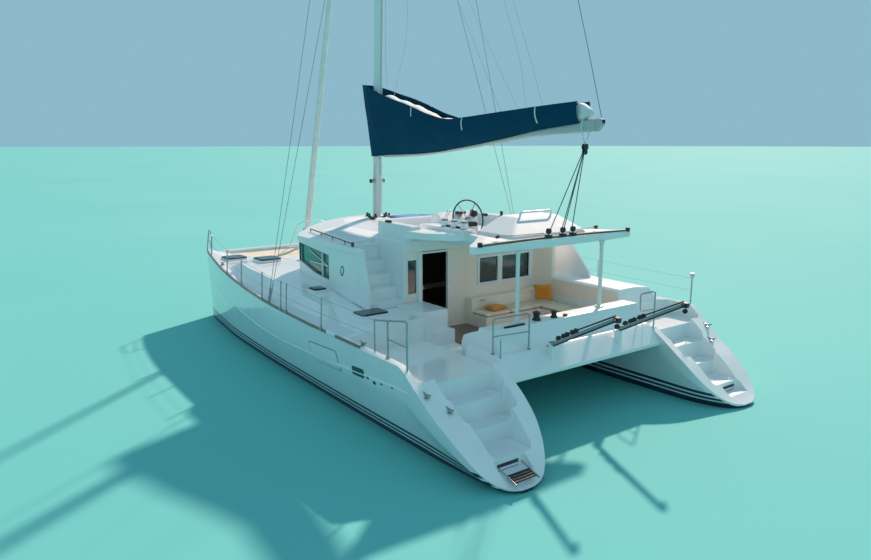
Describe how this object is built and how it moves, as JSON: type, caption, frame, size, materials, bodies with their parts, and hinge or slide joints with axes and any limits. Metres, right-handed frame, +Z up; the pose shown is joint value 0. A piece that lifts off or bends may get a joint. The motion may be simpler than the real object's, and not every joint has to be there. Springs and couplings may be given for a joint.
{
  "type": "sailing catamaran",
  "caption": "Cruising sailing catamaran afloat with furled headsail, mainsail stowed in a boom bag, flybridge helm and stern steps.",
  "frame": {"origin": "on the centreline, amidships, at the waterline", "axes": "+X forward to the bows, +Y to port, +Z up"},
  "size_m": [13.6941, 7.7, 22.2],
  "materials": {
    "gelcoat": "moulded white gelcoat",
    "cream": "cream moulding and leathercloth",
    "steel": "polished stainless",
    "aluminium": "light grey anodised",
    "black": "black",
    "dark_glass": "dark tinted",
    "navy_canvas": "woven acrylic canvas",
    "sailcloth": "white laminate",
    "orange_cloth": "woven",
    "blue_cloth": "woven",
    "netting": "knotted netting",
    "teak": "varnished",
    "wood": "satin varnish",
    "bronze": "cast",
    "iron": "painted",
    "antifouling": "dark navy bottom paint and boot stripes",
    "rope": "braided line"
  },
  "bodies": {
    "boat": {"port_hull": "gelcoat", "starboard_hull": "gelcoat", "port_drive": "iron", "port_stairs": "gelcoat", "port_trampoline": "netting", "port_toe_rail": "teak", "port_aft_rail": "steel", "port_deck_rail": "steel", "port_hardtop_post": "steel", "port_davit": "aluminium", "port_shrouds": "steel", "starboard_drive": "iron", "starboard_stairs": "gelcoat", "starboard_trampoline": "netting", "starboard_toe_rail": "teak", "starboard_aft_rail": "steel", "starboard_deck_rail": "steel", "starboard_hardtop_post": "steel", "starboard_davit": "aluminium", "starboard_shrouds": "steel", "bridgedeck": "gelcoat", "aft_coaming": "gelcoat", "starboard_coaming": "gelcoat", "cockpit_settee": "cream", "settee_cushions": "cream", "flat_cushion": "orange_cloth", "upright_cushion": "orange_cloth", "saloon_walls": "gelcoat", "saloon_windows": "dark_glass", "saloon_bulkhead": "cream", "bulkhead_window": "dark_glass", "saloon_furniture": "wood", "saloon_roof": "gelcoat", "hardtop": "gelcoat", "helm_console": "gelcoat", "helm_seat": "gelcoat", "sunpad": "blue_cloth", "crossbeam": "aluminium", "traveller_track": "black", "mast": "aluminium", "forestay": "steel", "bag_collar": "navy_canvas"},
    "port_rudder_body": {"port_rudder": "gelcoat"},
    "port_propeller_body": {"port_propeller": "bronze"},
    "port_forepeak_hatch_lid": {"port_forepeak_hatch": "dark_glass"},
    "port_forward_cabin_hatch_lid": {"port_forward_cabin_hatch": "dark_glass"},
    "port_midship_hatch_lid": {"port_midship_hatch": "dark_glass"},
    "port_aft_cabin_hatch_lid": {"port_aft_cabin_hatch": "dark_glass"},
    "starboard_rudder_body": {"starboard_rudder": "gelcoat"},
    "starboard_propeller_body": {"starboard_propeller": "bronze"},
    "starboard_forepeak_hatch_lid": {"starboard_forepeak_hatch": "dark_glass"},
    "starboard_forward_cabin_hatch_lid": {"starboard_forward_cabin_hatch": "dark_glass"},
    "starboard_midship_hatch_lid": {"starboard_midship_hatch": "dark_glass"},
    "wheel": {"helm_wheel": "black"},
    "boom_and_sail": {"boom": "aluminium", "sail_bag": "navy_canvas"},
    "headsail": {"furled_genoa": "sailcloth"},
    "sliding_door": {"saloon_door": "dark_glass"},
    "boarding_ladder": {"swim_ladder": "steel"}
  },
  "joints": [
    {"name": "port_rudder_steer", "type": "hinge", "parent": "boat", "child": "port_rudder_body", "pos_m": [-5.75, 2.9, -0.7], "axis": [0, 0, 1], "range_deg": [-35, 35]},
    {"name": "port_propeller_spin", "type": "hinge", "parent": "boat", "child": "port_propeller_body", "pos_m": [-4.1, 2.9, -0.9], "axis": [1, 0, 0], "continuous": true},
    {"name": "port_forepeak_hatch_hinge", "type": "hinge", "parent": "boat", "child": "port_forepeak_hatch_lid", "pos_m": [5.23, 2.83, 1.935], "axis": [0, 1, 0], "range_deg": [0, 90]},
    {"name": "port_forward_cabin_hatch_hinge", "type": "hinge", "parent": "boat", "child": "port_forward_cabin_hatch_lid", "pos_m": [3.58, 2.56, 2.095], "axis": [0, 1, 0], "range_deg": [0, 90]},
    {"name": "port_midship_hatch_hinge", "type": "hinge", "parent": "boat", "child": "port_midship_hatch_lid", "pos_m": [-0.01, 2.89, 1.92], "axis": [0, 1, 0], "range_deg": [0, 90]},
    {"name": "port_aft_cabin_hatch_hinge", "type": "hinge", "parent": "boat", "child": "port_aft_cabin_hatch_lid", "pos_m": [-1.95, 2.745, 1.755], "axis": [0, 1, 0], "range_deg": [0, 90]},
    {"name": "starboard_rudder_steer", "type": "hinge", "parent": "boat", "child": "starboard_rudder_body", "pos_m": [-5.75, -2.9, -0.7], "axis": [0, 0, 1], "range_deg": [-35, 35]},
    {"name": "starboard_propeller_spin", "type": "hinge", "parent": "boat", "child": "starboard_propeller_body", "pos_m": [-4.1, -2.9, -0.9], "axis": [1, 0, 0], "continuous": true},
    {"name": "starboard_forepeak_hatch_hinge", "type": "hinge", "parent": "boat", "child": "starboard_forepeak_hatch_lid", "pos_m": [5.23, -2.83, 1.935], "axis": [0, 1, 0], "range_deg": [0, 90]},
    {"name": "starboard_forward_cabin_hatch_hinge", "type": "hinge", "parent": "boat", "child": "starboard_forward_cabin_hatch_lid", "pos_m": [3.58, -2.56, 2.095], "axis": [0, 1, 0], "range_deg": [0, 90]},
    {"name": "starboard_midship_hatch_hinge", "type": "hinge", "parent": "boat", "child": "starboard_midship_hatch_lid", "pos_m": [-0.01, -2.89, 1.92], "axis": [0, 1, 0], "range_deg": [0, 90]},
    {"name": "helm_wheel_turn", "type": "hinge", "parent": "boat", "child": "wheel", "pos_m": [-2.1, 0.285, 3.43], "axis": [-0.9801, 0, 0.1987], "range_deg": [-450, 450]},
    {"name": "boom_swing", "type": "hinge", "parent": "boat", "child": "boom_and_sail", "pos_m": [1.8, 0, 4.79], "axis": [0, 0, 1], "range_deg": [-60, 60]},
    {"name": "genoa_furl", "type": "hinge", "parent": "boat", "child": "headsail", "pos_m": [6.4, 0, 1.96], "axis": [-0.2828, 0, 0.9592], "continuous": true},
    {"name": "saloon_door_slide", "type": "slide", "parent": "boat", "child": "sliding_door", "axis": [0, 1, 0], "range_m": [0, 0.65]},
    {"name": "swim_ladder_fold", "type": "hinge", "parent": "boat", "child": "boarding_ladder", "pos_m": [-6.85, 2.925, 0.175], "axis": [0, -1, 0], "range_deg": [0, 240]}
  ],
  "couplings": [
    {"joint": "starboard_rudder_steer", "follows": "port_rudder_steer", "ratio": 1},
    {"joint": "helm_wheel_turn", "follows": "port_rudder_steer", "ratio": -12.857}
  ]
}
